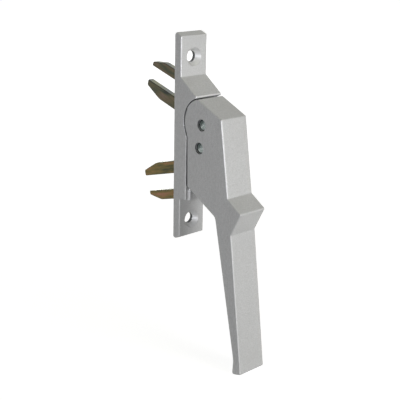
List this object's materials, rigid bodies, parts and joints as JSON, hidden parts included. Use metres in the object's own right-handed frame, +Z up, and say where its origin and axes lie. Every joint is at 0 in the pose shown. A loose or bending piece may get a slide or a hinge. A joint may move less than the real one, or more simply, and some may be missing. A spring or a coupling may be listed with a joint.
{
  "type": "cremone handle",
  "caption": "Swing-up cremone handle: a cranked lever on a narrow screw-on base turns two forks behind it that drive a door's upper and lower rods",
  "frame": {"origin": "midway between the two screw holes, on the base's back plane", "axes": "+Z up along the base, +Y into the door towards the forks, -Y towards the hand"},
  "size_m": [0.02, 0.0985, 0.1974],
  "materials": {
    "satin_casting": "satin silver lacquer on die-cast aluminium",
    "yellow_zinc_steel": "yellow zinc plate",
    "dark_steel": "bare drawn steel",
    "washer_steel": "plated",
    "nylon": "natural nylon"
  },
  "bodies": {
    "base": {"base": "satin_casting", "pivot_bush_left": "nylon", "pivot_bush_right": "nylon", "pivot_washer_left": "washer_steel", "pivot_washer_right": "washer_steel", "upper_fork_pin": "dark_steel", "lower_fork_pin": "dark_steel", "upper_fork_spacer": "nylon", "lower_fork_spacer": "nylon"},
    "lever": {"lever": "satin_casting", "pivot_pin": "dark_steel", "crank_pin": "dark_steel"},
    "upper_fork": {"upper_fork": "yellow_zinc_steel", "link_pin": "dark_steel"},
    "lower_fork": {"lower_fork": "yellow_zinc_steel"}
  },
  "joints": [
    {"name": "lever_swing", "type": "hinge", "parent": "base", "child": "lever", "pos_m": [0, -0.0243, 0.0137], "axis": [-1, 0, 0], "range_deg": [0, 80]},
    {"name": "upper_fork_swing", "type": "hinge", "parent": "base", "child": "upper_fork", "pos_m": [0, -0.0038, 0.02], "axis": [-1, 0, 0], "range_deg": [0, 30]},
    {"name": "lower_fork_swing", "type": "hinge", "parent": "base", "child": "lower_fork", "pos_m": [0, -0.0038, -0.02], "axis": [1, 0, 0], "range_deg": [0, 30]}
  ],
  "couplings": [
    {"joint": "upper_fork_swing", "follows": "lever_swing", "ratio": 0.375},
    {"joint": "lower_fork_swing", "follows": "lever_swing", "ratio": 0.375}
  ]
}
